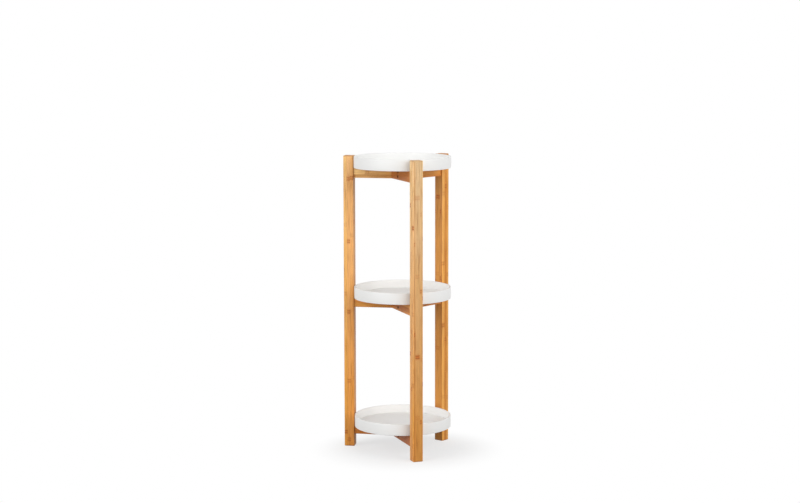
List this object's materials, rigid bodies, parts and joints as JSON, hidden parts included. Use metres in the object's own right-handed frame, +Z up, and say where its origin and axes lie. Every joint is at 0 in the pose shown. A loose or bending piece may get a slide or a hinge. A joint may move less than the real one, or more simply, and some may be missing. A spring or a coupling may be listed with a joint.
{
  "type": "tiered plant stand",
  "caption": "Slim bamboo plant stand with round white trays on tiers, carried by square legs and pinwheel bars.",
  "frame": {"origin": "middle of the footprint, at floor level", "axes": "+Z up the legs; -Y from the middle towards the front leg; +X to the right, seen from the front"},
  "size_m": [0.287, 0.2866, 0.7803],
  "materials": {
    "bamboo": "laminated bamboo with a satin clear coat",
    "trays": "satin white paint on fibreboard",
    "screws": "darkened steel",
    "dowels": "bare turned wood"
  },
  "bodies": {
    "frame": {"leg_front": "bamboo", "leg_right": "bamboo", "leg_left": "bamboo", "bar_bottom_front": "bamboo", "bar_bottom_right": "bamboo", "bar_bottom_left": "bamboo", "bar_middle_front": "bamboo", "bar_middle_right": "bamboo", "bar_middle_left": "bamboo", "bar_top_front": "bamboo", "bar_top_right": "bamboo", "bar_top_left": "bamboo", "screw_bottom_front_upper": "screws", "screw_bottom_front_lower": "screws", "screw_bottom_right_upper": "screws", "screw_bottom_right_lower": "screws", "screw_bottom_left_upper": "screws", "screw_bottom_left_lower": "screws", "screw_middle_front_upper": "screws", "screw_middle_front_lower": "screws", "screw_middle_right_upper": "screws", "screw_middle_right_lower": "screws", "screw_middle_left_upper": "screws", "screw_middle_left_lower": "screws", "screw_top_front_upper": "screws", "screw_top_front_lower": "screws", "screw_top_right_upper": "screws", "screw_top_right_lower": "screws", "screw_top_left_upper": "screws", "screw_top_left_lower": "screws", "dowel_bottom_front_upper": "dowels", "dowel_bottom_front_lower": "dowels", "dowel_bottom_right_upper": "dowels", "dowel_bottom_right_lower": "dowels", "dowel_bottom_left_upper": "dowels", "dowel_bottom_left_lower": "dowels", "dowel_middle_front_upper": "dowels", "dowel_middle_front_lower": "dowels", "dowel_middle_right_upper": "dowels", "dowel_middle_right_lower": "dowels", "dowel_middle_left_upper": "dowels", "dowel_middle_left_lower": "dowels", "dowel_top_front_upper": "dowels", "dowel_top_front_lower": "dowels", "dowel_top_right_upper": "dowels", "dowel_top_right_lower": "dowels", "dowel_top_left_upper": "dowels", "dowel_top_left_lower": "dowels"},
    "tray_bottom": {"tray_bottom_board": "trays", "tray_bottom_rim": "trays"},
    "tray_middle": {"tray_middle_board": "trays", "tray_middle_rim": "trays"},
    "tray_top": {"tray_top_board": "trays", "tray_top_rim": "trays"}
  },
  "joints": [
    {"name": "tray_bottom_lift", "type": "slide", "parent": "frame", "child": "tray_bottom", "axis": [0, 0, 1], "range_m": [0, 0.284]},
    {"name": "tray_middle_lift", "type": "slide", "parent": "frame", "child": "tray_middle", "axis": [0, 0, 1], "range_m": [0, 0.284]},
    {"name": "tray_top_lift", "type": "slide", "parent": "frame", "child": "tray_top", "axis": [0, 0, 1], "range_m": [0, 0.06]}
  ]
}
